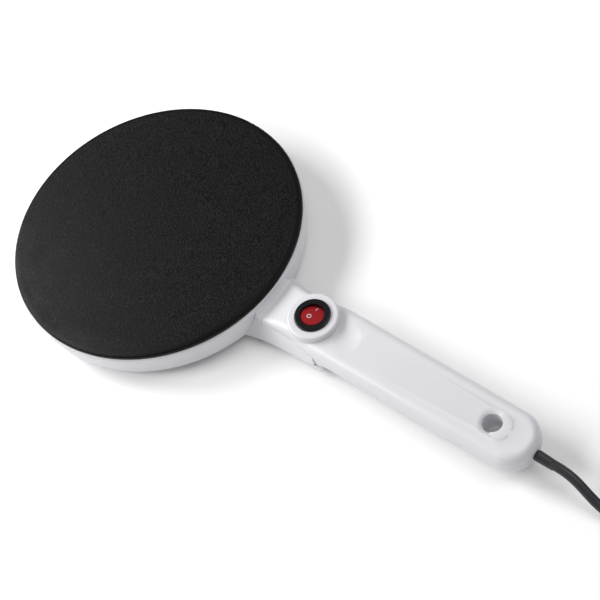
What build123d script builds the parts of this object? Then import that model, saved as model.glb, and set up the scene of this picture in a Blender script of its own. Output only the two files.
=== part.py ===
from build123d import *
import math
import os

# Hand-held pancake maker that stands on its feet with the cooking plate up.
# All sizes are millimetres. X runs from the axis of the plate along the handle, Y across it, Z up,
# and Z = 0 is the table. save() moves every piece so that the origin is under the middle of the body.

# Cooking plate
plate_r = 100.0
plate_crown = 5.0
plate_wall = 2.5
plate_edge_r = 1.2
plate_skirt = 3.0
rim_z = 29.0
seat_pad_in = 39.0
seat_pad_out = 74.0
seat_z = 27.5
centre_pad_r = 15.0
gasket_rib_in = plate_r - 6.4
gasket_rib_out = plate_r - 2.6
gasket_rib_z = 24.2
plate_post_r = 4.5
plate_post_z = 20.0
plate_screw_ring = plate_r - 16.0
plate_screw_angles = (60, 180, 300)

# Head bowl and its neck trough
lip_r = plate_r + 1.0
lip_gap = 0.4
lip_in = plate_r - 1.8
bowl_wall_r = lip_r - 1.6
bowl_corner_r = 8.5
bowl_wall = 2.2
base_z = 2.5
ledge_z = 22.0
ledge_in = gasket_rib_in - 0.8
gap = 0.1
parting_z = 16.5

# Neck, from the bowl to the end of the switch bay
neck_root_x = lip_r - 3.0
neck_waist_x = neck_root_x + 24.0
bay_end_x = neck_waist_x + 29.5
neck_root_half = 18.3
neck_waist_half = 15.9
bay_half = 19.0
bay_foot_x = bay_end_x + 3.0
bay_fill_in = 0.3
root_flare = 7.4
waist_flare = 6.3
bay_flare = 0.9
trough_edge_r = 2.6
bay_corner_r = 3.0
neck_top_root_z = 19.0
neck_top_waist_z = 23.0
neck_top_edge_r = 3.0
neck_draft = 1.2
neck_step = 0.06
crease_r = 5.0
seam_top_x = bay_end_x - 2.6
seam_low_x = bay_end_x - 4.9

# Handle
handle_end_x = bay_end_x + 144.0
handle_half_rear = 17.6
handle_top_z = 25.0
handle_low_z = 7.0
handle_edge_r = 6.5
handle_corner_r = 16.4
handle_end_crown = 4.0
shell_wall = 2.4
panel_start_x = bay_end_x + 20.5
panel_end_x = handle_end_x - 13.5
panel_half_front = 12.4
panel_half_rear = 11.3
panel_rise = 1.0
panel_side_w = 2.0
panel_corner_r = 10.0
dimple_x = bay_end_x + 10.9
dimple_r = 9.3
dimple_depth = 1.2
hole_x = handle_end_x - 28.1
hole_r = 6.05
hole_wall = 2.0
hole_dish_r = 10.0
hole_dish_depth = 1.0
hole_flare = 0.8

# Switch
switch_x = bay_end_x - 14.6
boss_r = 16.5
boss_top_z = 29.6
boss_edge_r = 1.6
bezel_r = 11.5
bezel_t = 1.5
switch_body_r = 9.9
switch_hole_gap = 0.2
switch_body_low_z = 17.0
pocket_r = 7.7
rocker_ball_r = 7.4
rocker_pivot_z = 28.6
rocker_throw = 22.0
rocker_crest = 1.5
rocker_slope = 4.0
pivot_pin_r = 1.2
pivot_gap = 0.05
tab_width = 4.8
tab_t = 0.8
tab_low_z = 9.6
tab_step = 5.6

# Screws: hole radius in the post, shank radius, head radius and head height
big_screw = dict(shank=2.0, head=3.8, head_h=2.4)
small_screw = dict(shank=1.5, head=2.7, head_h=2.0)
screw_gap = 0.1
handle_screw_xs = (bay_end_x + 28.5, (bay_end_x + hole_x) / 2 + 4.55, hole_x - 19.4)
neck_screw_x = neck_root_x + 13.0
neck_screw_y = 12.0
small_post_r = 3.3

# Heater
heater_ring_r = 62.0
heater_r = 3.25
heater_half_gap = 20.0
heater_bend_r = 6.0
heater_tail = 1.0
touch = 0.05
clamp_t = 1.0
clamp_out = 76.0
clamp_gap_half = 26.0
stud_ring = 44.0
stud_r = 2.0
stud_angles = (90, 210, 330)
stud_low_z = 15.0
nut_across = 7.0
nut_h = 3.2
washer_r = 4.5
washer_t = 0.8
shield_z = 10.0
shield_t = 0.8
shield_out = plate_r - 9.0
shield_in = 20.0
shield_rim_h = 4.0

# Feet
foot_r = 6.5
foot_stem_r = 2.6
foot_ring = plate_r - 32.0
foot_angles = (90, 180, 270)

# Cord: round mains lead
cord_d = 5.8
boot_root_r = 3.45
boot_tip_r = 3.05
boot_out = 12.0
boot_droop = 5.0
boot_in = 6.4
boot_flange_r = 4.4
boot_flange_t = 2.0
wire_r = 1.1
table_gap = 0.1

# Coil of the put-away length, two layers of turns
coil_x = handle_end_x + 74.5
coil_out_r = 38.7
coil_pitch = 7.0
coil_layer = 6.5
coil_turns_in = 2.0
coil_turns_out = 1.75
tie_t = 0.6
tie_w = 7.0

BOTTOM = (Align.CENTER, Align.CENTER, Align.MIN)
mid_x = (handle_end_x - lip_r) / 2
os.makedirs("parts", exist_ok=True)


def save(name, *solids):
    moved = [Pos(-mid_x, 0, 0) * s for group in solids for s in group.solids()]
    export_step(Compound(children=moved) if len(moved) > 1 else moved[0], f"parts/{name}.step")


def post(x, y, z0, z1, r):
    return Pos(x, y, z0) * Cylinder(r, z1 - z0, align=BOTTOM)


def block(x0, x1, y0, y1, z0, z1):
    return Pos((x0 + x1) / 2, (y0 + y1) / 2, (z0 + z1) / 2) * Box(x1 - x0, y1 - y0, z1 - z0)


def washer(z0, z1, r_out, r_in):
    return post(0, 0, z0, z1, r_out) - post(0, 0, z0, z1, r_in)


def polar(radius, degrees):
    a = math.radians(degrees)
    return radius * math.cos(a), radius * math.sin(a)


def bar_x(x0, x1, y, z, r):
    return Pos((x0 + x1) / 2, y, z) * Rot(0, 90, 0) * Cylinder(r, x1 - x0)


def turned(*points):
    # Solid turned about the plate's axis from (radius, height) corners
    return revolve(make_face(Polyline(*[(r, 0, z) for r, z in points], close=True)), Axis.Z)


def fillet_near(face, radius, *spots):
    corners = [min(face.vertices(), key=lambda v: (v.center() - Vector(*s)).length) for s in spots]
    return fillet(corners, radius)


def swept(path, radius):
    return sweep(Plane(origin=path @ 0, z_dir=path % 0) * Circle(radius), path=path)


def corner_radii(points, share=0.45):
    radii = []
    for a, b, c in zip(points, points[1:], points[2:]):
        run_in = Vector(*b) - Vector(*a)
        run_out = Vector(*c) - Vector(*b)
        half_turn = math.radians(run_in.get_angle(run_out)) / 2
        radii.append(share * min(run_in.length, run_out.length) / math.tan(half_turn))
    return radii


def wire_along(points, radius):
    return swept(FilletPolyline(*points, radius=corner_radii(points)), radius)


# Cooking plate: shallow dome of constant wall, thicker seats for the heater and the thermostat
dome_r = (plate_r**2 + plate_crown**2) / (2 * plate_crown)


def dome_z(r):
    return rim_z + plate_crown - dome_r + math.sqrt(dome_r**2 - r**2)


def under_z(r):
    return dome_z(r) - plate_wall


def dome_arc(r0, r1, height):
    rm = (r0 + r1) / 2
    return ThreePointArc((r0, 0, height(r0)), (rm, 0, height(rm)), (r1, 0, height(r1)))


plate_line = [
    dome_arc(0, plate_r, dome_z),
    Polyline(
        (plate_r, 0, rim_z),
        (plate_r, 0, rim_z - plate_skirt),
        (gasket_rib_out, 0, rim_z - plate_skirt),
        (gasket_rib_out, 0, gasket_rib_z),
        (gasket_rib_in, 0, gasket_rib_z),
        (gasket_rib_in, 0, under_z(gasket_rib_in)),
    ),
    dome_arc(gasket_rib_in, seat_pad_out, under_z),
    Polyline(
        (seat_pad_out, 0, under_z(seat_pad_out)),
        (seat_pad_out, 0, seat_z),
        (seat_pad_in, 0, seat_z),
        (seat_pad_in, 0, under_z(seat_pad_in)),
    ),
    dome_arc(seat_pad_in, centre_pad_r, under_z),
    Polyline(
        (centre_pad_r, 0, under_z(centre_pad_r)),
        (centre_pad_r, 0, seat_z),
        (0, 0, seat_z),
        (0, 0, dome_z(0)),
    ),
]
plate_face = fillet_near(make_face(plate_line), plate_edge_r, (plate_r, 0, rim_z))
cooking_plate = revolve(plate_face, Axis.Z)
for angle in plate_screw_angles:
    x, y = polar(plate_screw_ring, angle)
    cooking_plate += post(x, y, plate_post_z, under_z(plate_screw_ring) + 1, plate_post_r)
    cooking_plate -= post(x, y, plate_post_z, seat_z, big_screw["shank"] + touch)
stud_top_z = seat_z + 3
for angle in stud_angles:
    x, y = polar(stud_ring, angle)
    cooking_plate -= post(x, y, seat_z, stud_top_z, stud_r + touch)
thermostat_screw_y = 10.8
for side in (1, -1):
    cooking_plate -= post(0, side * thermostat_screw_y, seat_z, seat_z + 2.5, small_screw["shank"] + touch)
save("cooking_plate", cooking_plate)
save("rim_gasket", washer(ledge_z, gasket_rib_z, gasket_rib_out + 0.2, gasket_rib_in - 0.2))

# Head bowl: turned bowl, its neck trough, the deep switch bay and the screw posts
lip_z = rim_z - plate_skirt - lip_gap


def bowl_side_r(z):
    low_z = base_z + bowl_corner_r
    return bowl_wall_r + (lip_r - bowl_wall_r) * max(0, z - low_z) / (ledge_z - low_z)


def bowl_profile(inset, top_z):
    # Outline of the bowl in the XZ plane, moved inwards by the wall for the hollow
    r = bowl_corner_r - inset
    low_z = base_z + bowl_corner_r
    arc_x = bowl_wall_r - bowl_corner_r
    at45 = r * math.sqrt(0.5)
    return [
        Line((0, 0, base_z + inset), (arc_x, 0, base_z + inset)),
        ThreePointArc((arc_x, 0, base_z + inset), (arc_x + at45, 0, low_z - at45), (arc_x + r, 0, low_z)),
        Polyline(
            (arc_x + r, 0, low_z),
            (bowl_side_r(ledge_z) - inset, 0, ledge_z),
            (bowl_side_r(ledge_z) - inset, 0, top_z),
            (0, 0, top_z),
            (0, 0, base_z + inset),
        ),
    ]


bowl_face = fillet_near(make_face(bowl_profile(0, lip_z)), 1.0, (lip_r, 0, lip_z))
bowl_hollow = revolve(make_face(bowl_profile(bowl_wall, lip_z + 1)), Axis.Z)


def neck_half(x):
    # Half width of the neck at the parting plane, through the root, the waist and the bay
    if x < neck_waist_x:
        u = (neck_waist_x - x) / (neck_waist_x - neck_root_x)
        return neck_waist_half + (neck_root_half - neck_waist_half) * u * u
    u = (x - neck_waist_x) / (bay_end_x - neck_waist_x)
    return neck_waist_half + (bay_half - neck_waist_half) * u * u * (3 - 2 * u)


def neck_flare(x):
    if x < neck_waist_x:
        u = (neck_waist_x - x) / (neck_waist_x - neck_root_x)
        return waist_flare + (root_flare - waist_flare) * u
    u = (x - neck_waist_x) / (bay_end_x - neck_waist_x)
    return waist_flare + (bay_flare - waist_flare) * u


def neck_top_z(x):
    slope = (neck_top_waist_z - neck_top_root_z) / (neck_waist_x - neck_root_x)
    return min(handle_top_z, neck_top_root_z + slope * (x - neck_root_x))


def neck_section(x, half_low, half_high, z_low, z_high, r_low, r_high):
    plane = Plane(origin=(x, 0, 0), x_dir=(0, 1, 0), z_dir=(1, 0, 0))
    corners = [(-half_low, z_low), (half_low, z_low), (half_high, z_high), (-half_high, z_high)]
    face = make_face(Polyline(*corners, close=True))
    if r_low:
        face = fillet_near(face, r_low, corners[0] + (0,), corners[1] + (0,))
    if r_high:
        face = fillet_near(face, r_high, corners[2] + (0,), corners[3] + (0,))
    return plane * face


def trough(inset, x_first, x_last):
    stations = [x_first, neck_root_x, (neck_root_x + neck_waist_x) / 2, neck_waist_x, switch_x, x_last]
    sections = []
    for x in stations:
        half = neck_half(x) - inset
        top_z = parting_z - gap
        edge_r = trough_edge_r - 0.6 * inset
        sections.append(neck_section(x, half + neck_flare(x), half, base_z + inset, top_z, edge_r, 0))
    return loft(sections)


def seam_face(shift):
    # Region of the bay that belongs to the handle's lower shell, bounded by the S-shaped seam
    mid = ((seam_top_x + seam_low_x) / 2 + shift, 0, (parting_z + handle_low_z) / 2)
    top = (seam_top_x + shift, 0, parting_z + 1)
    low = (seam_low_x + shift, 0, handle_low_z - gap)
    bend = 0.7
    upper = ThreePointArc(top, ((top[0] + mid[0]) / 2 - bend, 0, (top[2] + mid[2]) / 2), mid)
    lower = ThreePointArc(mid, ((mid[0] + low[0]) / 2 + bend, 0, (mid[2] + low[2]) / 2), low)
    far_x = handle_end_x + 20
    rest = Polyline(low, (far_x, 0, low[2]), (far_x, 0, top[2]), top)
    return make_face([upper, lower, rest])


def seam_cut(shift):
    return extrude(seam_face(shift), amount=40, both=True)


bay_out = trough(0, neck_root_x - 14, bay_foot_x)
bay_corners = [e for e in bay_out.faces().sort_by(Axis.X)[-1].edges() if abs(e.tangent_at(0.5).Z) > 0.9]
bay_out = fillet(bay_corners, bay_corner_r)
bay_in = trough(bowl_wall, neck_root_x - 10, seam_low_x - bowl_wall)
head_bowl = revolve(bowl_face, Axis.Z) + (bay_out - seam_cut(0))
head_bowl -= bowl_hollow
head_bowl -= bay_in

ledge = turned(
    (ledge_in, ledge_z),
    (lip_r - bowl_wall / 2, ledge_z),
    (bowl_side_r(15.5) - bowl_wall / 2, 15.0),
    (bowl_side_r(15.5) - bowl_wall - 0.1, 15.5),
    (ledge_in, ledge_z - 2),
)
lip_fill = washer(ledge_z, lip_z - 0.8, lip_r - bowl_wall / 2, lip_in)
head_bowl += ledge + lip_fill
wire_slot = block(seam_low_x - bowl_wall - 2, seam_top_x + 2, -9, 9, 10.5, parting_z)
head_bowl -= wire_slot

floor_in_z = base_z + bowl_wall
boss_top_for_plate = plate_post_z - 0.3
for angle in plate_screw_angles:
    x, y = polar(plate_screw_ring, angle)
    head_bowl += post(x, y, floor_in_z - 1, shield_z - touch, 6.0)
    head_bowl += post(x, y, shield_z - 1, boss_top_for_plate, 4.0)
    head_bowl -= post(x, y, base_z, base_z + 4.0, big_screw["head"] + 0.4)
    head_bowl -= post(x, y, base_z, boss_top_for_plate, big_screw["shank"] + screw_gap)
for side in (1, -1):
    y = side * neck_screw_y
    head_bowl += post(neck_screw_x, y, floor_in_z - 1, parting_z - gap, small_post_r)
    head_bowl += post(neck_screw_x, y, floor_in_z - 1, 7.5, 4.4)
    head_bowl -= post(neck_screw_x, y, base_z, base_z + 3.0, small_screw["head"] + 0.3)
    head_bowl -= post(neck_screw_x, y, base_z, parting_z, small_screw["shank"] + screw_gap)
foot_spots = [polar(foot_ring, a) for a in foot_angles] + [(switch_x, 0)]
for x, y in foot_spots:
    head_bowl -= post(x, y, base_z, floor_in_z, foot_stem_r)
save("head_bowl", head_bowl)


# Handle outline in plan, from a front station to the crowned end
def handle_half(x):
    u = (x - bay_end_x) / (handle_end_x - bay_end_x)
    return bay_half + (handle_half_rear - bay_half) * u


def handle_face(x_front, inset):
    end_x = handle_end_x - inset
    side_x = end_x - handle_end_crown
    middle_x = (x_front + bay_end_x) / 2
    h0 = neck_half(x_front) - inset
    hm = neck_half(middle_x) - inset
    h1 = bay_half - inset
    h2 = handle_half_rear - inset
    outline = [
        Line((side_x, h2), (bay_end_x, h1)),
        ThreePointArc((bay_end_x, h1), (middle_x, hm), (x_front, h0)),
        Line((x_front, h0), (x_front, -h0)),
        ThreePointArc((x_front, -h0), (middle_x, -hm), (bay_end_x, -h1)),
        Line((bay_end_x, -h1), (side_x, -h2)),
        ThreePointArc((side_x, -h2), (end_x, 0), (side_x, h2)),
    ]
    face = make_face(outline)
    return fillet_near(face, handle_corner_r - inset, (side_x, h2, 0), (side_x, -h2, 0))


def handle_solid(x_front, inset, z0, z1, rounded_top):
    # Extruded outline whose outer edge is rounded on the top or the bottom, but not at the front
    body = Pos(0, 0, z0) * extrude(handle_face(x_front, inset), amount=z1 - z0)
    face = body.faces().sort_by(Axis.Z)[-1 if rounded_top else 0]
    edges = [e for e in face.edges() if e.center().X > x_front + 1]
    return fillet(edges, handle_edge_r - inset)


# Handle's upper shell: neck cover, switch boss and the upper half of the handle
def neck_cover():
    # Its rounding grows and its draft fades until the section is that of the handle
    sections = []
    for x in [neck_root_x - 6, neck_root_x, (neck_root_x + neck_waist_x) / 2, neck_waist_x, switch_x]:
        half = neck_half(x)
        u = max(0, (x - neck_root_x) / (switch_x - neck_root_x))
        edge_r = neck_top_edge_r + (handle_edge_r - neck_top_edge_r) * u
        low = half - neck_step * u
        high = low - neck_draft * (1 - u)
        sections.append(neck_section(x, low, high, parting_z, neck_top_z(x) - neck_step * u, 0, edge_r))
    return loft(sections)


def cover_hollow():
    # Straight-sided hollow under the neck cover, ended short of the switch boss
    x0 = lip_r + gap + shell_wall
    side = [(x, neck_half(x) - shell_wall - neck_draft) for x in (x0, neck_waist_x, switch_x - 6)]
    plan = Polyline(*side, *[(x, -y) for x, y in reversed(side)], close=True)
    prism = Pos(0, 0, parting_z - 1) * extrude(make_face(plan), amount=20)
    roof = shell_wall + 0.4
    cut = Polyline(
        (x0 - 1, 0, parting_z - 2),
        (switch_x, 0, parting_z - 2),
        (switch_x, 0, neck_top_z(switch_x) - roof),
        (x0 - 1, 0, neck_top_z(x0 - 1) - roof),
        close=True,
    )
    return prism & extrude(make_face(cut), amount=30, both=True)


def bowl_blank(extra):
    # The bowl's outside with a clearance, from its bottom corner to above the lip
    return turned(
        (0, 5),
        (bowl_side_r(5) + extra, 5),
        (bowl_side_r(base_z + bowl_corner_r) + extra, base_z + bowl_corner_r),
        (lip_r + extra, ledge_z),
        (lip_r + extra, 60),
        (0, 60),
    )


crease_z = neck_top_z(neck_root_x + 3) + 0.4
crease_low_z = parting_z
r0 = lip_r
crease_face = make_face(
    [
        Polyline(
            (r0, 0, crease_z + crease_r),
            (r0, 0, crease_low_z),
            (r0 + crease_r, 0, crease_low_z),
            (r0 + crease_r, 0, crease_z),
        ),
        ThreePointArc(
            (r0 + crease_r, 0, crease_z),
            (r0 + crease_r * (1 - math.sqrt(0.5)), 0, crease_z + crease_r * (1 - math.sqrt(0.5))),
            (r0, 0, crease_z + crease_r),
        ),
    ]
)
crease_width = neck_section(
    lip_r - 16, neck_root_half, neck_root_half - 5.0, parting_z, crease_z + crease_r + 0.5, 0, 0
)
crease = revolve(crease_face, Axis.Z) & extrude(crease_width, amount=30)

shell_out = neck_cover() + crease + handle_solid(switch_x, 0, parting_z, handle_top_z, True)
boss = post(switch_x, 0, parting_z, boss_top_z, boss_r)
boss = fillet(boss.edges().sort_by(Axis.Z)[-1], boss_edge_r)
shell_out += boss

# Raised panel with sloping sides that grows out of the handle's top towards the end
panel_length = panel_end_x - panel_start_x


def panel_outline(inset):
    corners = [
        (panel_end_x - inset, panel_half_rear - inset),
        (panel_start_x, panel_half_front - inset),
        (panel_start_x, inset - panel_half_front),
        (panel_end_x - inset, inset - panel_half_rear),
    ]
    face = make_face(Polyline(*corners, close=True))
    return fillet_near(face, panel_corner_r - inset, corners[0] + (0,), corners[3] + (0,))


panel_low = Pos(0, 0, handle_top_z - panel_rise) * panel_outline(0)
panel_high = Pos(0, 0, handle_top_z + panel_rise) * panel_outline(2 * panel_side_w)
panel_blank = loft([panel_low, panel_high])
panel_side = make_face(
    Polyline(
        (panel_start_x, 0, handle_top_z - panel_rise / 2),
        (panel_end_x + 1, 0, handle_top_z - panel_rise / 2),
        (panel_end_x + 1, 0, handle_top_z + panel_rise * (1 + 1 / panel_length)),
        (panel_start_x, 0, handle_top_z),
        close=True,
    )
)
shell_out += panel_blank & extrude(panel_side, amount=30, both=True)

shell_out -= handle_solid(switch_x + 2, shell_wall, parting_z - 1, handle_top_z - shell_wall, True)
shell_out -= cover_hollow()
shell_out -= post(switch_x, 0, parting_z - 1, boss_top_z - bowl_wall, boss_r - bowl_wall)
handle_top_shell = shell_out

shell_roof_z = handle_top_z - shell_wall / 2
handle_top_shell += post(hole_x, 0, parting_z, shell_roof_z, hole_r + hole_wall)
for x in handle_screw_xs:
    handle_top_shell += post(x, 0, parting_z, shell_roof_z, small_post_r)
    handle_top_shell -= post(x, 0, parting_z, handle_top_z - shell_wall, small_screw["shank"] + touch)
for side in (1, -1):
    y = side * neck_screw_y
    roof = neck_top_z(neck_screw_x) - shell_wall / 2
    handle_top_shell += post(neck_screw_x, y, parting_z, roof, small_post_r)
    handle_top_shell -= post(neck_screw_x, y, parting_z, roof - 1, small_screw["shank"] + touch)

handle_top_shell -= post(hole_x, 0, 0, 60, hole_r)
hole_top_z = handle_top_z + panel_rise * (hole_x - panel_start_x) / panel_length
dish = Cone(hole_r + hole_flare, hole_dish_r, hole_dish_depth, align=BOTTOM)
handle_top_shell -= Pos(hole_x, 0, hole_top_z - hole_dish_depth + 0.02) * dish
throat = Cone(hole_r, hole_r + hole_flare, hole_flare, align=BOTTOM)
handle_top_shell -= Pos(hole_x, 0, hole_top_z - hole_dish_depth - hole_flare + 0.02) * throat

dimple_ball_r = (dimple_r**2 + dimple_depth**2) / (2 * dimple_depth)
dimple_ball = Rot(90, 20, 0) * Sphere(dimple_ball_r)
dimple = Pos(dimple_x, 0, handle_top_z - dimple_depth + dimple_ball_r) * dimple_ball
handle_top_shell -= dimple & post(dimple_x, 0, handle_top_z - 3, handle_top_z + 0.05, dimple_r + 1)
handle_top_shell -= post(switch_x, 0, boss_top_z - 5, boss_top_z + 5, switch_body_r + switch_hole_gap)
handle_top_shell -= bowl_blank(gap)

# The strain relief's neck passes the end wall, and a saddle holds its flange
axis_z = (handle_top_z + handle_low_z) / 2
end_in_x = handle_end_x - shell_wall
flange_x = end_in_x - 1.6
boot_neck_r = boot_tip_r - 0.15
saddle_x0 = flange_x - boot_flange_t - 0.1 - 2.0
saddle_x1 = saddle_x0 + 2.0
boot_way = bar_x(saddle_x0 - 5, handle_end_x + 5, 0, axis_z, boot_neck_r + touch)


def saddle(z0, z1, limit):
    return block(saddle_x0, saddle_x1, -12, 12, z0, z1) & limit


upper_limit = handle_solid(switch_x, shell_wall / 2, parting_z, handle_top_z - shell_wall / 2, True)
handle_top_shell += saddle(parting_z, handle_top_z, upper_limit)
handle_top_shell -= boot_way
save("handle_top_shell", handle_top_shell)

# Handle's lower shell, cut to the S-shaped seam of the bay
low_top = parting_z - gap
lower_out = handle_solid(switch_x, 0, handle_low_z, low_top, False) & seam_cut(gap)
fill_half = bay_half - bay_fill_in
bay_fill = block(seam_low_x - 4, bay_foot_x, -fill_half, fill_half, handle_low_z, low_top - 1)
fill_corners = bay_fill.edges().filter_by(Axis.Z).group_by(Axis.X)[-1]
lower_out += fillet(fill_corners, bay_corner_r) & seam_cut(gap)
lower_in = handle_solid(switch_x, shell_wall, handle_low_z + shell_wall, low_top + 1, False)
handle_bottom_shell = lower_out - lower_in
lower_floor_z = handle_low_z + shell_wall / 2
handle_bottom_shell += post(hole_x, 0, lower_floor_z, low_top, hole_r + hole_wall)
for x in handle_screw_xs:
    handle_bottom_shell += post(x, 0, lower_floor_z, low_top, small_post_r)
    handle_bottom_shell += post(x, 0, lower_floor_z, handle_low_z + 5.4, 4.6)
    handle_bottom_shell -= post(x, 0, handle_low_z, handle_low_z + 3.2, small_screw["head"] + 0.3)
    handle_bottom_shell -= post(x, 0, handle_low_z, low_top, small_screw["shank"] + screw_gap)
handle_bottom_shell -= post(hole_x, 0, 0, 60, hole_r)
mouth = Cone(hole_r + hole_flare, hole_r, hole_flare, align=BOTTOM)
handle_bottom_shell -= Pos(hole_x, 0, handle_low_z) * mouth
lower_limit = handle_solid(switch_x, shell_wall / 2, handle_low_z + shell_wall / 2, low_top, False)
handle_bottom_shell += saddle(handle_low_z, low_top, lower_limit)
handle_bottom_shell -= boot_way
save("handle_bottom_shell", handle_bottom_shell)


# Screws: pan heads that sit in the recesses
def screw(x, y, z_head_top, z_tip, kind):
    head = post(x, y, z_head_top - kind["head_h"], z_head_top, kind["head"])
    return fillet(head.edges().sort_by(Axis.Z)[0], 0.8) + post(x, y, z_head_top, z_tip, kind["shank"])


save(
    "plate_screws",
    *[screw(*polar(plate_screw_ring, a), base_z + 4.0, seat_z - 1, big_screw) for a in plate_screw_angles],
)
neck_screw_tip = neck_top_z(neck_screw_x) - shell_wall / 2 - 1.2
save(
    "neck_screws",
    *[screw(neck_screw_x, s * neck_screw_y, base_z + 3.0, neck_screw_tip, small_screw) for s in (1, -1)],
)
handle_screw_tip = handle_top_z - shell_wall - 0.5
save(
    "handle_screws",
    *[screw(x, 0, handle_low_z + 3.2, handle_screw_tip, small_screw) for x in handle_screw_xs],
)
feet = []
for x, y in foot_spots:
    pad = post(x, y, 0, base_z, foot_r)
    pad = fillet(pad.edges().sort_by(Axis.Z)[0], 0.8)
    feet.append(pad + post(x, y, base_z, floor_in_z + 0.8, foot_stem_r))
save("rubber_feet", *feet)

# Tubular heater: open ring under the plate whose ends turn down into cold pins
ring_z = seat_z - heater_r - touch
a0 = heater_half_gap


def heater_end(side):
    x, y = polar(heater_ring_r, side * a0)
    dx, dy = math.sin(math.radians(a0)), -side * math.cos(math.radians(a0))
    return x + heater_bend_r * dx, y + heater_bend_r * dy


def heater_bend(side):
    x, y = polar(heater_ring_r, side * a0)
    dx, dy = math.sin(math.radians(a0)), -side * math.cos(math.radians(a0))
    s = heater_bend_r * math.sqrt(0.5)
    drop = heater_bend_r - s
    middle = (x + dx * s, y + dy * s, ring_z - drop)
    ex, ey = heater_end(side)
    return (x, y, ring_z), middle, (ex, ey, ring_z - heater_bend_r)


near_ring, near_mid, near_low = heater_bend(1)
far_ring, far_mid, far_low = heater_bend(-1)
tail_z = near_low[2] - heater_tail
heater_path = Wire(
    [
        Line((near_low[0], near_low[1], tail_z), near_low).edge(),
        ThreePointArc(near_low, near_mid, near_ring).edge(),
        ThreePointArc(near_ring, (-heater_ring_r, 0, ring_z), far_ring).edge(),
        ThreePointArc(far_ring, far_mid, far_low).edge(),
        Line(far_low, (far_low[0], far_low[1], tail_z)).edge(),
    ]
)
save("heating_element", swept(heater_path, heater_r))
bead_z = tail_z - 2.0
pin_low_z = 11.6
pin_r = 1.0
beads = []
pins = []
for side in (1, -1):
    x, y = heater_end(side)
    beads.append(post(x, y, bead_z, tail_z, 3.0) - post(x, y, bead_z, tail_z, pin_r))
    pins.append(post(x, y, pin_low_z, tail_z, pin_r))
save("element_insulators", *beads)
save("element_pins", *pins)

clamp_top_z = ring_z - heater_r - touch
clamp_low_z = clamp_top_z - clamp_t
clamp = washer(clamp_low_z, clamp_top_z, clamp_out, seat_pad_in)
clamp -= block(20, clamp_out + 5, -clamp_gap_half, clamp_gap_half, clamp_low_z - 1, clamp_top_z + 1)
studs = []
washers = []
nuts = []
for angle in stud_angles:
    x, y = polar(stud_ring, angle)
    clamp -= post(x, y, clamp_low_z, clamp_top_z, stud_r + screw_gap)
    studs.append(post(x, y, stud_low_z, stud_top_z, stud_r))
    z0 = clamp_low_z - washer_t
    washers.append(post(x, y, z0, clamp_low_z, washer_r) - post(x, y, z0, clamp_low_z, stud_r + screw_gap))
    hexagon = RegularPolygon(nut_across / 2, 6, major_radius=False)
    nut = Pos(x, y, z0 - nut_h) * extrude(hexagon, amount=nut_h)
    nuts.append(nut - post(x, y, z0 - nut_h, z0, stud_r + touch))
save("element_clamp", clamp)
save("plate_studs", *studs)
save("clamp_washers", *washers)
save("clamp_nuts", *nuts)

# Heat shield: dish that rests on the shoulders of the plate's screw posts
shield = turned(
    (shield_in, shield_z),
    (shield_out - 1.5, shield_z),
    (shield_out, shield_z + shield_rim_h),
    (shield_out - shield_t, shield_z + shield_rim_h),
    (shield_out - 1.5 - shield_t, shield_z + shield_t),
    (shield_in, shield_z + shield_t),
)
shield -= block(shield_out - 6, shield_out + 1, -13, 13, shield_z + shield_t, 30)
for angle in plate_screw_angles:
    x, y = polar(plate_screw_ring, angle)
    shield -= post(x, y, 0, 30, 4.3)
save("heat_shield", shield)

# Snap-disc thermostat screwed against the plate's centre
thermostat_r = 7.6
cap_low_z = seat_z - 3.0
flange_r = 13.6
cap = post(0, 0, cap_low_z, seat_z, 8.0) + post(0, 0, cap_low_z, cap_low_z + 0.6, flange_r)
for side in (1, -1):
    cap -= post(0, side * thermostat_screw_y, 0, 40, small_screw["shank"] + screw_gap)
save("thermostat_cap", cap)
thermostat_low_z = 15.6
save("thermostat_body", post(0, 0, thermostat_low_z, cap_low_z, thermostat_r))
tab_y = 4.0
tab_tip_z = 11.7
save(
    "thermostat_tabs",
    *[block(-0.4, 0.4, s * tab_y - 2.4, s * tab_y + 2.4, tab_tip_z, thermostat_low_z) for s in (1, -1)],
)
save(
    "thermostat_screws",
    *[screw(0, s * thermostat_screw_y, cap_low_z, seat_z + 2.3, small_screw) for s in (1, -1)],
)

# One-shot fuse in a glass-fibre sleeve, strapped under the clamp ring
fuse_angle = -50
sleeve_r = 3.0
fuse_r = 2.0
fuse_z = clamp_low_z - sleeve_r - touch
fuse_x, fuse_y = polar(58.0, fuse_angle)
fuse_place = Pos(fuse_x, fuse_y, fuse_z) * Rot(0, 0, fuse_angle + 90) * Rot(0, 90, 0)
fuse_half = 6.0
lead_half = 14.0
lead_r = 0.5
fuse = fuse_place * (Cylinder(fuse_r, 2 * fuse_half) + Cylinder(lead_r, 2 * lead_half))
save("thermal_fuse", fuse)
save("fuse_sleeve", fuse_place * (Cylinder(sleeve_r, 20) - Cylinder(fuse_r + touch, 20)))
strap_t = 0.5
strap_w = 5.0
strap_r = sleeve_r + touch
turn = Pos(fuse_x, fuse_y, 0) * Rot(0, 0, fuse_angle + 90)
strap = turn * Pos(0, 0, fuse_z) * Rot(0, 90, 0) * Cylinder(strap_r + strap_t, strap_w)
strap += turn * block(-strap_w / 2, strap_w / 2, -strap_r - strap_t, strap_r + strap_t, fuse_z, clamp_low_z)
strap += turn * block(-strap_w / 2, strap_w / 2, -8, 8, clamp_low_z - strap_t, clamp_low_z)
strap -= turn * Pos(0, 0, fuse_z) * Rot(0, 90, 0) * Cylinder(strap_r, strap_w + 2)
strap -= turn * block(-5, 5, -strap_r, strap_r, fuse_z, clamp_low_z + 1)
save("fuse_clip", strap - post(0, 0, clamp_low_z, clamp_low_z + 10, 100))

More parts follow.
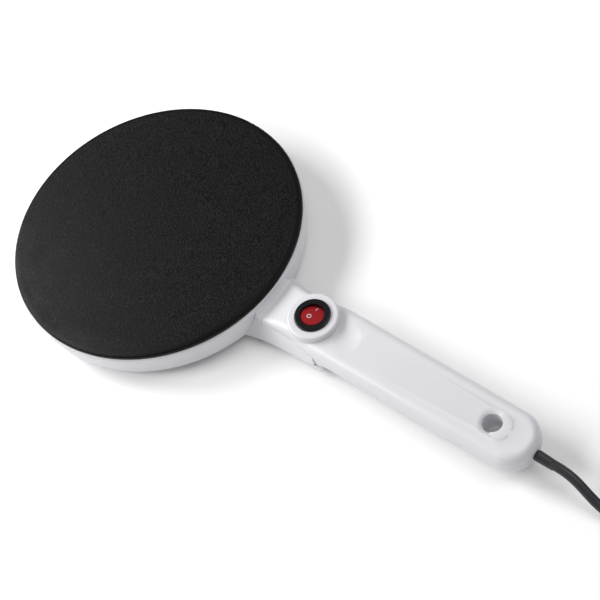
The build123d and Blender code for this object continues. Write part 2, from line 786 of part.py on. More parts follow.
# Switch: snap-in body with a round bezel, its pocket, the rocker and the contact works
bezel_top_z = boss_top_z + bezel_t
bezel = post(switch_x, 0, boss_top_z, bezel_top_z, bezel_r)
bezel = fillet(bezel.edges().group_by(Axis.Z)[-1], 0.9)
body = bezel + post(switch_x, 0, switch_body_low_z, boss_top_z, switch_body_r)
lug_top = boss_top_z - bowl_wall - touch
lug_corners = [(1.3, lug_top), (0, lug_top - 6), (-1, lug_top - 6), (-1, lug_top)]
lug_face = make_face(Polyline(*[(x, 0, z) for x, z in lug_corners], close=True))
for turn_deg in (0, 180):
    lug = extrude(lug_face, amount=2, both=True)
    body += Pos(switch_x, 0, 0) * Rot(0, 0, turn_deg) * Pos(switch_body_r - 0.3, 0, 0) * lug
pocket_low_z = switch_body_low_z + 1.8
body -= post(switch_x, 0, pocket_low_z, bezel_top_z + 1, pocket_r)
pin_half = pocket_r + 1.6
body -= bar_x(switch_x - pin_half, switch_x + pin_half, 0, rocker_pivot_z, pivot_pin_r + pivot_gap)

rocker_body = Pos(switch_x, 0, rocker_pivot_z) * Sphere(rocker_ball_r)
rocker_body &= post(switch_x, 0, rocker_pivot_z - 3.2, rocker_pivot_z + 6, rocker_ball_r + 1)
crest_z = rocker_pivot_z + rocker_crest
crest_reach = rocker_ball_r + 2
crest_drop = crest_reach * math.tan(math.radians(rocker_slope))
above_crest = Polyline(
    (switch_x, 0, crest_z),
    (switch_x, crest_reach, crest_z - crest_drop),
    (switch_x, crest_reach, crest_z + 10),
    (switch_x, -crest_reach, crest_z + 10),
    (switch_x, -crest_reach, crest_z - crest_drop),
    close=True,
)
rocker_body -= extrude(make_face(above_crest), amount=crest_reach, both=True)
stem_low = rocker_pivot_z - 6.6
stem_r = 2.4
rocker_body += post(switch_x, 0, stem_low, rocker_pivot_z, stem_r)
rocker_body += bar_x(switch_x - pin_half + 0.1, switch_x + pin_half - 0.1, 0, rocker_pivot_z, pivot_pin_r)
bore_r = 1.5
rocker_body -= post(switch_x, 0, stem_low, rocker_pivot_z - 1.0, bore_r)
plunger_tip = rocker_pivot_z - 8.0
plunger = post(switch_x, 0, plunger_tip + 1.2, stem_low + 2.2, bore_r - 0.06)
plunger += Pos(switch_x, 0, plunger_tip + 1.2) * Sphere(1.2)
spring_z0 = stem_low + 2.2
spring = post(switch_x, 0, spring_z0, rocker_pivot_z - 1.0, bore_r - 0.1)
spring -= post(switch_x, 0, spring_z0, rocker_pivot_z - 1.0, bore_r - 0.5)


def rocked(part, angle):
    # Turned about the rocker's pivot
    return Pos(switch_x, 0, rocker_pivot_z) * Rot(angle, 0, 0) * Pos(-switch_x, 0, -rocker_pivot_z) * part


rest_angle = -rocker_throw / 2
save("rocker", rocked(rocker_body, rest_angle))
save("rocker_plunger", rocked(plunger, rest_angle))
save("rocker_spring", rocked(spring, rest_angle))

# Contact lever: a strip that rocks on the middle terminal, opposite to the rocker
lever_pivot_z = 20.3
lever_tilt = 6.0
lever_half = 5.9
lever = Box(4, 2 * lever_half, 0.5)
for side in (1, -1):
    lever += post(0, side * (lever_half - 1.3), -0.7, 0, 1.1)
save("contact_lever", Pos(switch_x, 0, lever_pivot_z) * Rot(lever_tilt, 0, 0) * lever)


def tab_at(y, z0, z1):
    return block(switch_x - tab_width / 2, switch_x + tab_width / 2, y - tab_t / 2, y + tab_t / 2, z0, z1)


terminals = []
tab_ys = (0.0, -tab_step)
for y in tab_ys:
    terminals.append(tab_at(y, tab_low_z, pocket_low_z))
    body -= terminals[-1]
fulcrum_z = lever_pivot_z - 0.35
terminals[0] += block(switch_x - 1.6, switch_x + 1.6, -tab_t / 2, tab_t / 2, pocket_low_z - 0.1, fulcrum_z)
save("switch_body", body)
save("switch_terminals", *terminals)

# Push-on connectors: a sleeve round each tab, with a barrel for the wire along X
barrel_z = 12.4
barrel_r = 1.8
connectors = []
for y, side in zip(tab_ys, (1, -1)):
    x0, x1 = sorted((switch_x + side * 2.9, switch_x + side * 7.0))
    connector = block(switch_x - 3, switch_x + 3, y - 1.2, y + 1.2, tab_low_z - 0.4, 15.6)
    connector += bar_x(x0, x1, y, barrel_z, barrel_r) - bar_x(x0, x1, y, barrel_z, wire_r + touch)
    connectors.append(connector - tab_at(y, 0, 30))
save("switch_receptacles", *connectors)

# Wiring, with the two cores parting round the hanging hole
core_y = 1.25
hole_pass_y = hole_r + hole_wall + 3.4
boot_in_x = saddle_x0 - boot_in
live_path = [
    (boot_in_x, -core_y, axis_z),
    (boot_in_x - 3, -core_y, axis_z),
    (hole_x + 7, -hole_pass_y + 0.6, axis_z),
    (hole_x - 9, -hole_pass_y, axis_z),
    (hole_x - 27.4, -8.5, 15.5),
    (hole_x - 57.4, -7.8, 14.8),
    (bay_end_x + 24.5, -7.6, 14.2),
    (bay_end_x + 8.5, -4.0, 13.2),
    (bay_end_x - 1.5, 0, barrel_z),
    (switch_x + 3.6, 0, barrel_z),
]
save("live_wire", wire_along(live_path, wire_r))
near_pin_x, near_pin_y = heater_end(1)
neutral_path = [
    (boot_in_x, core_y, axis_z),
    (boot_in_x - 3, core_y, axis_z),
    (hole_x + 7, hole_pass_y - 0.6, axis_z),
    (hole_x - 9, hole_pass_y, axis_z),
    (hole_x - 27.4, 8.5, 15.5),
    (hole_x - 57.4, 7.8, 14.8),
    (bay_end_x + 24.5, 7.6, 14.0),
    (bay_end_x + 4.5, 6.6, 12.6),
    (switch_x - 2.9, 5.8, 11.2),
    (neck_screw_x + 1, 6.2, 11.4),
    (shield_out - 1, 9.0, 12.6),
    (near_pin_x + 12, near_pin_y - 1, 13.0),
    (near_pin_x + pin_r + 0.1, near_pin_y, 13.0),
]
save("neutral_wire", wire_along(neutral_path, wire_r))
switched_path = [
    (switch_x - 3.6, -tab_step, barrel_z),
    (neck_waist_x + 4, -tab_step, barrel_z),
    (neck_root_x + 6, -5.2, 12.0),
    (heater_ring_r + 16, -3.5, 12.6),
    (heater_ring_r - 14, 1.0, 13.2),
    (22, 3.6, 13.3),
    (0.5, tab_y, 13.2),
]
save("switched_wire", wire_along(switched_path, wire_r))
lead_end = (fuse_place * Pos(0, 0, -lead_half + 1.5)).position
fuse_path = [
    (0.5, -tab_y, 13.2),
    (8, -tab_y - 0.4, 13.2),
    (16, -12, 13.6),
    (20, -30, 14.8),
    (lead_end.X - 2.5, lead_end.Y + 9, 15.6),
    (lead_end.X - 0.9, lead_end.Y + 1.5, fuse_z),
]
save("heater_wire", wire_along(fuse_path, wire_r))

# Strain relief moulded on the cord: cores' end, trapped flange, neck and slim outer taper
boot = bar_x(boot_in_x, handle_end_x + 2.5, 0, axis_z, boot_neck_r)
boot += bar_x(flange_x - boot_flange_t, flange_x, 0, axis_z, boot_flange_r)
taper_start = 0.5
taper = Cone(boot_root_r, boot_tip_r, boot_out - taper_start, align=BOTTOM)
taper = Pos(0, 0, taper_start) * fillet(taper.edges().sort_by(Axis.Z)[0], 0.4)
boot += Pos(handle_end_x, 0, axis_z) * Rot(0, 90 + boot_droop, 0) * taper
save("cord_boot", boot)

# Cord: one route in three stretches. The run drops from the handle to the table.
droop = math.radians(boot_droop)
boot_tip_x = handle_end_x + boot_out * math.cos(droop)
boot_tip_z = axis_z - boot_out * math.sin(droop)
cord_r = cord_d / 2
cord_z = cord_r + table_gap
coil_z = cord_r + tie_t + table_gap
coil_y = coil_out_r
run_points = [
    (boot_tip_x, 0, boot_tip_z),
    (boot_tip_x + 7.6 * math.cos(droop), 0, boot_tip_z - 7.6 * math.sin(droop)),
    (handle_end_x + 26.8, -0.8, boot_tip_z - 2.85),
    (handle_end_x + 33.1, -1.9, boot_tip_z - 6.15),
    (handle_end_x + 40.2, -2.4, (boot_tip_z + cord_z) / 2 - 3.5),
    (handle_end_x + 48.5, -1.9, cord_z + 0.4),
    (handle_end_x + 57.3, -0.6, cord_z),
    (coil_x - 8, 0, coil_z),
    (coil_x, 0, coil_z),
]
run_radii = corner_radii(run_points)
print("cord run radii", [round(r, 1) for r in run_radii])
run_path = FilletPolyline(*run_points, radius=run_radii)
cord_run = swept(run_path, cord_r)
save("cord_run", cord_run)


# Coil: spiral in on the lower layer, climb while the spiral reverses, spiral out on the upper one
def biarc(p0, t0, p1, t1):
    v = p1 - p0
    t = t0 + t1
    k = 2 * (1 - t0.dot(t1))
    reach = (-v.dot(t) + math.sqrt(v.dot(t) ** 2 + k * v.dot(v))) / k
    joint = (p0 + t0 * reach + p1 - t1 * reach) / 2
    middle = (p1 - t1 * reach - p0 - t0 * reach).normalized()
    return [TangentArc(p0, joint, tangent=t0).edge(), TangentArc(joint, p1, tangent=middle).edge()]


quarters_in = round(4 * coil_turns_in)
quarters_out = round(4 * coil_turns_out)
climb_quarters = 2
coil_points = []
for k in range(quarters_in + climb_quarters + quarters_out + 1):
    if k <= quarters_in:
        radius = coil_out_r - coil_pitch * k / 4
        height = coil_z
    elif k < quarters_in + climb_quarters:
        radius = coil_out_r - coil_pitch * quarters_in / 4 - coil_pitch / 16
        height = coil_z + coil_layer / 2
    else:
        radius = coil_out_r - coil_pitch * (quarters_in - (k - quarters_in - climb_quarters)) / 4
        height = coil_z + coil_layer
    angle = math.radians(-90 + 90 * k)
    outward = Vector(math.cos(angle), math.sin(angle), 0)
    along = Vector(-math.sin(angle), math.cos(angle), 0)
    if k == quarters_in + 1:
        along = (along + Vector(0, 0, coil_layer / (math.pi * radius))).normalized()
    coil_points.append((Vector(coil_x, coil_y, height) + outward * radius, along))
coil_edges = []
for (p0, t0), (p1, t1) in zip(coil_points, coil_points[1:]):
    coil_edges += biarc(p0, t0, p1, t1)
coil_path = Wire(coil_edges)
cord_coil = swept(coil_path, cord_r)
save("cord_coil", cord_coil)

# The least gap of the coil to itself, on points along its line
samples = [coil_path @ (i / 1200) for i in range(1201)]
step = coil_path.length / 1200
apart = round(3 * cord_d / step)
least = min(
    (samples[i] - samples[j]).length for i in range(0, 1201, 2) for j in range(i + apart, 1201, 2)
)
print("coil least gap to itself", round(least - cord_d, 2), "length", round(coil_path.length, 1))

# Tail and plug
end_point, end_dir = coil_points[-1]
tail_points = [
    end_point,
    end_point + end_dir * 9,
    end_point + end_dir * 18 + Vector(0.6, 0, -1.2),
    end_point + end_dir * 27 + Vector(0.6, 0, -1.2),
]
tail_radii = corner_radii(tail_points)
print("cord tail radii", [round(r, 1) for r in tail_radii])
tail_path = FilletPolyline(*tail_points, radius=tail_radii)
save("cord_tail", swept(tail_path, cord_r))

plug_back = tail_points[-1]
plug_dir = Vector(0, 1, 0)
plug_axis_z = plug_back.Z
plug_half_w = 12.5
plug_half_h = plug_axis_z - table_gap
plug_len = 34.0
blade_gap = 12.7
blade_h = 6.3
blade_t = 1.5
blade_len = 17.0


def plug_section(distance, half_w, half_h, corner):
    plane = Plane(origin=plug_back + plug_dir * distance, x_dir=(1, 0, 0), z_dir=(0, 1, 0))
    return plane * RectangleRounded(2 * half_w, 2 * half_h, corner)


plug = loft(
    [
        plug_section(0, 4.6, 4.6, 4.4),
        plug_section(10, 6.2, 5.6, 4.4),
        plug_section(16, 11.0, plug_half_h - 0.4, 4.4),
        plug_section(24, plug_half_w, plug_half_h, 4.4),
        plug_section(plug_len, plug_half_w, plug_half_h, 4.4),
    ]
)
blades = []
for side in (1, -1):
    x = plug_back.X + side * blade_gap / 2
    y0 = plug_back.Y + plug_len - 8
    z0 = plug_axis_z - blade_h / 2
    blade = block(x - blade_t / 2, x + blade_t / 2, y0, y0 + 8 + blade_len, z0, z0 + blade_h)
    tip = blade.faces().sort_by(Axis.Y)[-1].edges().filter_by(Axis.X)
    blades.append(fillet(tip, 1.2))
    plug -= block(x - blade_t / 2, x + blade_t / 2, y0, y0 + 30, z0, z0 + blade_h)
save("plug_body", plug)
save("plug_blades", *blades)

# Tie: a strap round the coil's turns on the side away from the handle's end
turn_in_r = coil_out_r - coil_pitch * (coil_turns_in + 1 / 16)
strap_gap = 0.4
strap_in = turn_in_r - cord_r - strap_gap
strap_out = coil_out_r + cord_r + strap_gap
strap_low = table_gap
strap_high = coil_z + coil_layer + cord_r + strap_gap
tie_angle = 45.0
tie_hole = block(strap_in, strap_out, -tie_w, tie_w, strap_low + tie_t - 0.3, strap_high)
tie = block(strap_in - tie_t, strap_out + tie_t, -tie_w / 2, tie_w / 2, strap_low, strap_high + tie_t)
tie = fillet(tie.edges().filter_by(Axis.Y), 0.5) - tie_hole
save("cord_tie", Pos(coil_x, coil_y, 0) * Rot(0, 0, tie_angle) * tie)
print("cord length", round(boot_out + run_path.length + coil_path.length + tail_path.length, 1))
print("plate axis in the part's frame", round(-mid_x, 3))
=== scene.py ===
import math

import bmesh
import bpy
from mathutils import Matrix, Vector


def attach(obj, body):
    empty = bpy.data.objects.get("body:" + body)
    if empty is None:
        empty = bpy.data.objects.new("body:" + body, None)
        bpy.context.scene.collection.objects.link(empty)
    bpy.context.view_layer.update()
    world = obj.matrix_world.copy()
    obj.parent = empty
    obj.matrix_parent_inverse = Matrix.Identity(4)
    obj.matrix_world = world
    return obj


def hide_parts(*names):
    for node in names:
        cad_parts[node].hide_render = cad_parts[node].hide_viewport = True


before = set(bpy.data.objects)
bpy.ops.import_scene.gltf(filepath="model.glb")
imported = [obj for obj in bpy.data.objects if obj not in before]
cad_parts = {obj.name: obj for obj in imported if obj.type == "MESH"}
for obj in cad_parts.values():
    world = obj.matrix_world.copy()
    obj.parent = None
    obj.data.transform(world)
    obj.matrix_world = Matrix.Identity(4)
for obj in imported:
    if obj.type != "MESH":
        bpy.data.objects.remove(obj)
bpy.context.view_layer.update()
scene = bpy.context.scene

# Camera. A long lens that looks down on the plate from the handle's near side and is rolled, so that the
# handle runs to the lower right. Its place is counted from the middle of the plate's rim.
rim_middle = Vector((-0.09725, 0, 0.029))
look_az, look_el, look_roll = 1.0253, 0.9695, -0.4151
stand_right, stand_down, stand_off = 0.09617, 0.04979, 0.79940
toward_camera = Vector(
    (math.sin(look_az) * math.cos(look_el), -math.cos(look_az) * math.cos(look_el), math.sin(look_el))
)
level_right = Vector((math.cos(look_az), math.sin(look_az), 0))
level_up = toward_camera.cross(level_right)
right = level_right * math.cos(look_roll) + level_up * math.sin(look_roll)
up = level_up * math.cos(look_roll) - level_right * math.sin(look_roll)
camera = bpy.data.objects.new("camera", bpy.data.cameras.new("camera"))
scene.collection.objects.link(camera)
turned = Matrix((right, up, toward_camera)).transposed().to_4x4()
stand = rim_middle + right * stand_right - up * stand_down + toward_camera * stand_off
camera.matrix_world = Matrix.Translation(stand) @ turned
camera.data.sensor_width = 36
camera.data.lens = 72.16
camera.data.clip_start = 0.01
scene.camera = camera


# Mains cord. Round two-core lead in a dark rubbery jacket. It leaves the handle through its strain relief,
# drops to the table and is put away beyond the edge of the view, wound in two layers and strapped.
patch_scale, patch_detail, grain_detail = 35, 4, 3
patch_low, patch_high = 0.3, 0.7
grain_strength = 0.5


def finish(
    name, colour, rough, grain=900, depth=0.00002, mottle=0.05, metallic=0.0, spread=0.06, shine=0.5
):
    # Moulded, plated or painted finish: a fine grain of the given scale and depth in the normal, and
    # patches over which the tone drifts by mottle and the roughness by spread
    material = bpy.data.materials.new(name)
    material.use_nodes = True
    nodes, links = material.node_tree.nodes, material.node_tree.links
    shader = nodes["Principled BSDF"]
    shader.inputs["Metallic"].default_value = metallic
    shader.inputs["Specular IOR Level"].default_value = shine
    place = nodes.new("ShaderNodeTexCoord").outputs["Object"]

    fine = nodes.new("ShaderNodeTexNoise")
    fine.inputs["Scale"].default_value = grain
    fine.inputs["Detail"].default_value = grain_detail
    links.new(place, fine.inputs["Vector"])
    bump = nodes.new("ShaderNodeBump")
    bump.inputs["Strength"].default_value = grain_strength
    bump.inputs["Distance"].default_value = depth
    links.new(fine.outputs["Fac"], bump.inputs["Height"])
    links.new(bump.outputs["Normal"], shader.inputs["Normal"])

    broad = nodes.new("ShaderNodeTexNoise")
    broad.inputs["Scale"].default_value = patch_scale
    broad.inputs["Detail"].default_value = patch_detail
    links.new(place, broad.inputs["Vector"])
    gloss = nodes.new("ShaderNodeMapRange")
    gloss.inputs["From Min"].default_value = patch_low
    gloss.inputs["From Max"].default_value = patch_high
    gloss.inputs["To Min"].default_value = rough - spread
    gloss.inputs["To Max"].default_value = rough + spread
    links.new(broad.outputs["Fac"], gloss.inputs["Value"])
    links.new(gloss.outputs["Result"], shader.inputs["Roughness"])

    tone = nodes.new("ShaderNodeValToRGB")
    tone.color_ramp.elements[0].position = patch_low
    tone.color_ramp.elements[1].position = patch_high
    tone.color_ramp.elements[0].color = [c * (1 - mottle) for c in colour] + [1]
    tone.color_ramp.elements[1].color = [c * (1 + mottle) for c in colour] + [1]
    links.new(broad.outputs["Fac"], tone.inputs["Fac"])
    links.new(tone.outputs["Color"], shader.inputs["Base Color"])
    return material


def millimetres(*points):
    return [Vector(p) / 1000 for p in points]


jacket = finish("cord_jacket", (0.0125, 0.0125, 0.0165), 0.46, grain=2400, depth=0.00003, mottle=0.1)
cord_across = 0.0058
cord_route = millimetres(
    (208.0, 0, 15.75),
    (211.6, 0, 15.75),
    (217.8, -0.1, 15.2),
    (223.9, -0.8, 13.6),
    (229.9, -2.1, 11.2),
    (236.3, -3.5, 8.3),
    (243.4, -4.4, 5.6),
    (252.0, -4.5, 4.0),
    (260.0, -3.2, 3.6),
    (267.5, -1.0, 3.6),
)

# The turns shrink over the lower layer, climb for half a turn and grow over the upper layer. Each point lies
# a little outside the arc that it shapes.
coil_middle = Vector((0.27275, 0.0387, 0))
coil_outer, coil_inner, coil_pitch = 0.0387, 0.0247, 0.0070
coil_low, coil_high = 0.0036, 0.0101
lower_turns, climb_turns = 2, 0.5
climb_inset = 0.0004
points_a_turn = 12
coil_points = 50
outside_arc = 1.034
for step in range(1, coil_points + 1):
    turns = step / points_a_turn
    climbed = turns - lower_turns
    if climbed <= 0:
        reach, height = coil_outer - coil_pitch * turns, coil_low
    elif climbed < climb_turns:
        reach, height = coil_inner - climb_inset, coil_low + (coil_high - coil_low) * climbed / climb_turns
    else:
        reach, height = coil_inner + coil_pitch * (climbed - climb_turns), coil_high
    reach *= outside_arc
    angle = math.tau * turns - math.pi / 2
    cord_route.append(coil_middle + Vector((math.cos(angle) * reach, math.sin(angle) * reach, height)))
cord_route += millimetres((309.7, 36.3, 10.1), (309.7, 47.7, 10.1), (310.3, 56.7, 8.9), (310.3, 65.7, 8.9))

cord_line = bpy.data.curves.new("mains_cord", "CURVE")
cord_line.dimensions = "3D"
spline = cord_line.splines.new("NURBS")
spline.points.add(len(cord_route) - 1)
for point, where in zip(spline.points, cord_route):
    point.co = (*where, 1)
spline.order_u = 3
spline.use_endpoint_u = True
spline.resolution_u = 8
cord_line.bevel_depth = cord_across / 2
cord_line.bevel_resolution = 6
cord_line.use_fill_caps = True
cord_line.materials.append(jacket)
cord = bpy.data.objects.new("mains_cord", cord_line)
scene.collection.objects.link(cord)
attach(cord, "base")
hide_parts("cord_run", "cord_coil", "cord_tail")

# Strain relief. Tapered sleeve moulded on the cord in the same rubber, with a flange at its inner end that
# the two handle shells trap.
weld = 0.000002


def smoothed(node_name, piece_name, sharp):
    # Copy of a CAD node with its triangles joined, its round faces shaded smooth and its edges kept sharp
    # where they turn by more than the given degrees
    piece = bpy.data.objects.new(piece_name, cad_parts[node_name].data.copy())
    scene.collection.objects.link(piece)
    mesh = bmesh.new()
    mesh.from_mesh(piece.data)
    bmesh.ops.remove_doubles(mesh, verts=mesh.verts, dist=weld)
    bmesh.ops.dissolve_degenerate(mesh, edges=mesh.edges, dist=weld)
    for face in mesh.faces:
        face.smooth = True
    mesh.to_mesh(piece.data)
    mesh.free()
    if piece.data.has_custom_normals:
        piece.data.attributes.remove(piece.data.attributes["custom_normal"])
    piece.data.set_sharp_from_angle(angle=math.radians(sharp))
    piece.data.materials.clear()
    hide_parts(node_name)
    return piece


boot = smoothed("cord_boot", "strain_relief", 50)
boot.data.materials.append(jacket)
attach(boot, "base")

# Plug and strap. The plug is moulded on the cord's end round two nickel-plated blades, and a plain black
# plastic strap holds the turns together.
plug = smoothed("plug_body", "plug_moulding", 40)
plug.data.materials.append(jacket)
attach(plug, "base")
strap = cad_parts["cord_tie"]
strap.data.materials.clear()
strap.data.materials.append(finish("strap_plastic", (0.02, 0.02, 0.02), 0.4, grain=1500))
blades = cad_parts["plug_blades"]
blades.data.materials.clear()
blades.data.materials.append(finish("nickel_plate", (0.72, 0.7, 0.66), 0.22, grain=600, metallic=1.0))

# Table and light. A plain white table top under two soft lights from the left and a weaker one from above,
# with an even pale surround that lifts the shaded sides.
table_half = 3
floor_mesh = bpy.data.meshes.new("table_top")
shape = bmesh.new()
bmesh.ops.create_grid(shape, x_segments=1, y_segments=1, size=table_half)
shape.to_mesh(floor_mesh)
shape.free()
floor = bpy.data.objects.new("table_top", floor_mesh)
scene.collection.objects.link(floor)
floor_mesh.materials.append(
    finish("table_white", (0.93, 0.93, 0.93), 0.7, grain=60, depth=0.00001, mottle=0.004)
)

world = bpy.data.worlds.new("studio")
scene.world = world
world.use_nodes = True
world.node_tree.nodes["Background"].inputs["Color"].default_value = (1, 1, 1, 1)
world.node_tree.nodes["Background"].inputs["Strength"].default_value = 0.38
scene.view_settings.view_transform = "Standard"


def soft_light(name, where, aim, size, power):
    lamp = bpy.data.lights.new(name, "AREA")
    lamp.shape = "DISK"
    lamp.size = size
    lamp.energy = power
    holder = bpy.data.objects.new(name, lamp)
    scene.collection.objects.link(holder)
    holder.location = where
    holder.rotation_euler = (Vector(aim) - Vector(where)).to_track_quat("-Z", "Y").to_euler()


soft_light("key_light", (-1.35, -0.3, 1.05), (-0.05, 0, 0), 0.8, 19)
soft_light("side_light", (-1.0, -1.1, 1.1), (0, 0, 0), 0.8, 15)
soft_light("top_light", (0.5, 0.7, 1.6), (0, 0, 0), 1.2, 9)

# Cooking plate. Pressed aluminium disc with a shallow dome and a turned-down skirt, sprayed with a black
# non-stick coating that dries to a fine sandy grain on top and stays smooth round the skirt.
coating_shine = 0.13
sand_end, smooth_start = 0.0962, 0.0978
speck_scale, speck_detail, speck_low, speck_high = 950, 1, 0.48, 0.62
speck_strength, speck_depth = 0.7, 0.0003
coating_dark, coating_light = (0.0008, 0.0008, 0.0011, 1), (0.0115, 0.0115, 0.014, 1)
sheen_scale, sheen_detail, sheen_low, sheen_high = 60, 4, 0.3, 0.7
glossy, matt = 0.4, 0.5

coating = bpy.data.materials.new("nonstick_coating")
coating.use_nodes = True
nodes, links = coating.node_tree.nodes, coating.node_tree.links
shader = nodes["Principled BSDF"]
shader.inputs["Specular IOR Level"].default_value = coating_shine
place = nodes.new("ShaderNodeTexCoord").outputs["Object"]


def plate_noise(scale, detail):
    noise = nodes.new("ShaderNodeTexNoise")
    noise.inputs["Scale"].default_value = scale
    noise.inputs["Detail"].default_value = detail
    links.new(place, noise.inputs["Vector"])
    return noise.outputs["Fac"]


def stretch(source, low, high, to_low, to_high):
    span = nodes.new("ShaderNodeMapRange")
    span.inputs["From Min"].default_value = low
    span.inputs["From Max"].default_value = high
    span.inputs["To Min"].default_value = to_low
    span.inputs["To Max"].default_value = to_high
    links.new(source, span.inputs["Value"])
    return span.outputs["Result"]


# The sandy zone ends just inside the rim: 1 on the dome, 0 on the smooth edge and skirt
from_axis = nodes.new("ShaderNodeVectorMath")
from_axis.operation = "SUBTRACT"
from_axis.inputs[1].default_value = rim_middle
links.new(place, from_axis.inputs[0])
flat = nodes.new("ShaderNodeVectorMath")
flat.operation = "MULTIPLY"
flat.inputs[1].default_value = (1, 1, 0)
links.new(from_axis.outputs["Vector"], flat.inputs[0])
reach_out = nodes.new("ShaderNodeVectorMath")
reach_out.operation = "LENGTH"
links.new(flat.outputs["Vector"], reach_out.inputs[0])
sandy = stretch(reach_out.outputs["Value"], sand_end, smooth_start, 1, 0)

speck = stretch(plate_noise(speck_scale, speck_detail), speck_low, speck_high, 0, 1)
grain = nodes.new("ShaderNodeMath")
grain.operation = "MULTIPLY"
links.new(speck, grain.inputs[0])
links.new(sandy, grain.inputs[1])
grain_colour = nodes.new("ShaderNodeValToRGB")
grain_colour.color_ramp.elements[0].color = coating_dark
grain_colour.color_ramp.elements[1].color = coating_light
links.new(grain.outputs["Value"], grain_colour.inputs["Fac"])
links.new(grain_colour.outputs["Color"], shader.inputs["Base Color"])
sheen = stretch(plate_noise(sheen_scale, sheen_detail), sheen_low, sheen_high, glossy, matt)
links.new(sheen, shader.inputs["Roughness"])
grain_bump = nodes.new("ShaderNodeBump")
grain_bump.inputs["Strength"].default_value = speck_strength
grain_bump.inputs["Distance"].default_value = speck_depth
links.new(grain.outputs["Value"], grain_bump.inputs["Height"])
links.new(grain_bump.outputs["Normal"], shader.inputs["Normal"])

plate = smoothed("cooking_plate", "cooking_plate_coated", 30)
plate.data.materials.append(coating)
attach(plate, "base")

# White mouldings. Head bowl, handle cover and handle underside, moulded in one satin white plastic, parted
# along the middle of the handle and screwed together from below.
white = finish("white_moulding", (0.655, 0.645, 0.675), 0.36, grain=1600, depth=0.000012, mottle=0.008)
for node_name, piece_name in (
    ("head_bowl", "head_bowl_moulding"),
    ("handle_top_shell", "handle_cover_moulding"),
    ("handle_bottom_shell", "handle_base_moulding"),
):
    moulding = smoothed(node_name, piece_name, 28)
    moulding.data.materials.append(white)
    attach(moulding, "base")

# Switch. Glossy black housing with a round bezel that snaps into the handle cover, and a red cap that rocks
# on pins in the housing.
housing = smoothed("switch_body", "switch_housing", 30)
housing.data.materials.append(
    finish("switch_black", (0.004, 0.004, 0.005), 0.24, grain=1200, depth=0.000008, shine=0.32)
)
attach(housing, "base")
rocker = smoothed("rocker", "rocker_cap", 30)
rocker.data.materials.append(
    finish("rocker_red", (0.28, 0.011, 0.015), 0.5, grain=1500, depth=0.000012, shine=0.12)
)
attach(rocker, "rocker")

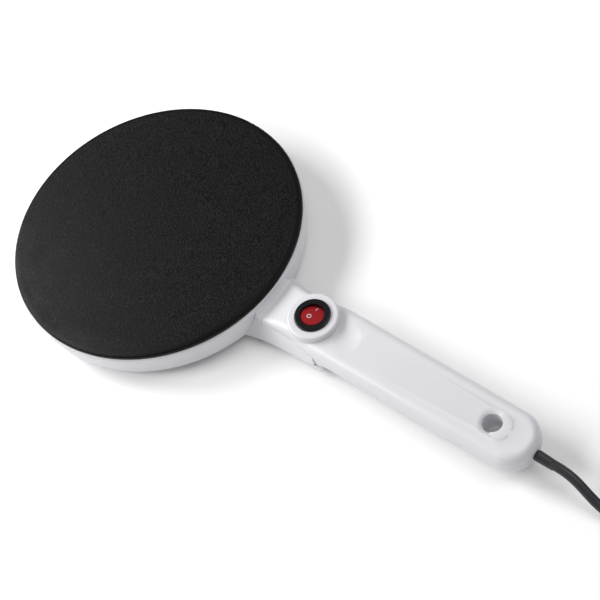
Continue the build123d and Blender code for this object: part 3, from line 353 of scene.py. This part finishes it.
# Marks on the cap. A bar on one face and a ring on the other, printed in pale ink. Each lies flat on its
# face, which slopes away from the crest over the pins.
pivot = Vector((0.03965, 0, 0.0286))
rest_tilt = math.radians(-11)
crest, slope = 0.0015, math.radians(4)
print_height = 0.00004
bar_wide, bar_long = 0.0005, 0.0022
ring_outer, ring_inner, ring_segments = 0.0015, 0.00105, 40
ink = finish("printed_ink", (0.55, 0.62, 0.64), 0.5, grain=3000, depth=0.00001)
for side, mark_name, aside, reach in ((1, "mark_on", -0.0008, 0.0050), (-1, "mark_off", -0.0014, 0.0018)):
    mark_mesh = bpy.data.meshes.new(mark_name)
    shape = bmesh.new()
    if side > 0:
        bmesh.ops.create_cube(shape, size=1)
        bmesh.ops.scale(shape, vec=(bar_wide, bar_long, 2 * print_height), verts=shape.verts)
    else:
        bmesh.ops.create_circle(shape, segments=ring_segments, radius=ring_outer)
        bmesh.ops.create_circle(shape, segments=ring_segments, radius=ring_inner)
        ring = bmesh.ops.bridge_loops(shape, edges=shape.edges)["faces"]
        raised = bmesh.ops.extrude_face_region(shape, geom=ring)["geom"]
        top = [v for v in raised if isinstance(v, bmesh.types.BMVert)]
        bmesh.ops.translate(shape, vec=(0, 0, print_height), verts=top)
        bmesh.ops.recalc_face_normals(shape, faces=shape.faces)
    lie = (
        Matrix.Translation(pivot)
        @ Matrix.Rotation(rest_tilt, 4, "X")
        @ Matrix.Translation((0, 0, crest))
        @ Matrix.Rotation(-side * slope, 4, "X")
        @ Matrix.Translation((aside, side * reach, 0))
    )
    bmesh.ops.transform(shape, matrix=lie, verts=shape.verts)
    shape.to_mesh(mark_mesh)
    shape.free()
    mark = bpy.data.objects.new(mark_name, mark_mesh)
    scene.collection.objects.link(mark)
    mark_mesh.materials.append(ink)
    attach(mark, "rocker")

# Works inside. Heater, thermostat, fuse, switch works, wiring, gasket, feet and screws stay as the CAD
# pieces. Each row gives a finish, the pieces in it, its colour, its roughness and whether it is metal.
inside_grain = 1400
for finish_name, node_names, colour, rough, metallic in (
    (
        "zinc_steel",
        (
            "plate_screws", "neck_screws", "handle_screws", "element_pins", "element_clamp", "plate_studs",
            "clamp_washers", "clamp_nuts", "thermostat_screws", "fuse_clip", "rocker_spring",
        ),
        (0.6, 0.6, 0.62), 0.35, 1.0,
    ),
    ("element_sheath", ("heating_element",), (0.2, 0.19, 0.18), 0.45, 1.0),
    ("plain_aluminium", ("heat_shield", "thermostat_cap"), (0.8, 0.8, 0.82), 0.3, 1.0),
    (
        "contact_brass",
        ("thermostat_tabs", "contact_lever", "switch_terminals", "switch_receptacles"),
        (0.75, 0.58, 0.3), 0.3, 1.0,
    ),
    ("fuse_can", ("thermal_fuse",), (0.72, 0.7, 0.66), 0.25, 1.0),
    ("fired_ceramic", ("element_insulators",), (0.85, 0.83, 0.78), 0.6, 0.0),
    ("phenolic_moulding", ("thermostat_body",), (0.05, 0.035, 0.03), 0.5, 0.0),
    ("silicone_ring", ("rim_gasket",), (0.5, 0.2, 0.1), 0.6, 0.0),
    ("foot_rubber", ("rubber_feet",), (0.55, 0.54, 0.55), 0.7, 0.0),
    ("glass_sleeve", ("fuse_sleeve",), (0.8, 0.78, 0.74), 0.8, 0.0),
    ("plunger_plastic", ("rocker_plunger",), (0.02, 0.02, 0.02), 0.4, 0.0),
    ("brown_insulation", ("live_wire",), (0.2, 0.07, 0.03), 0.4, 0.0),
    ("blue_insulation", ("neutral_wire",), (0.03, 0.1, 0.5), 0.4, 0.0),
    ("white_insulation", ("switched_wire", "heater_wire"), (0.78, 0.76, 0.72), 0.5, 0.0),
):
    material = finish(finish_name, colour, rough, grain=inside_grain, metallic=metallic)
    for node_name in node_names:
        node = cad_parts[node_name]
        node.data.materials.clear()
        node.data.materials.append(material)
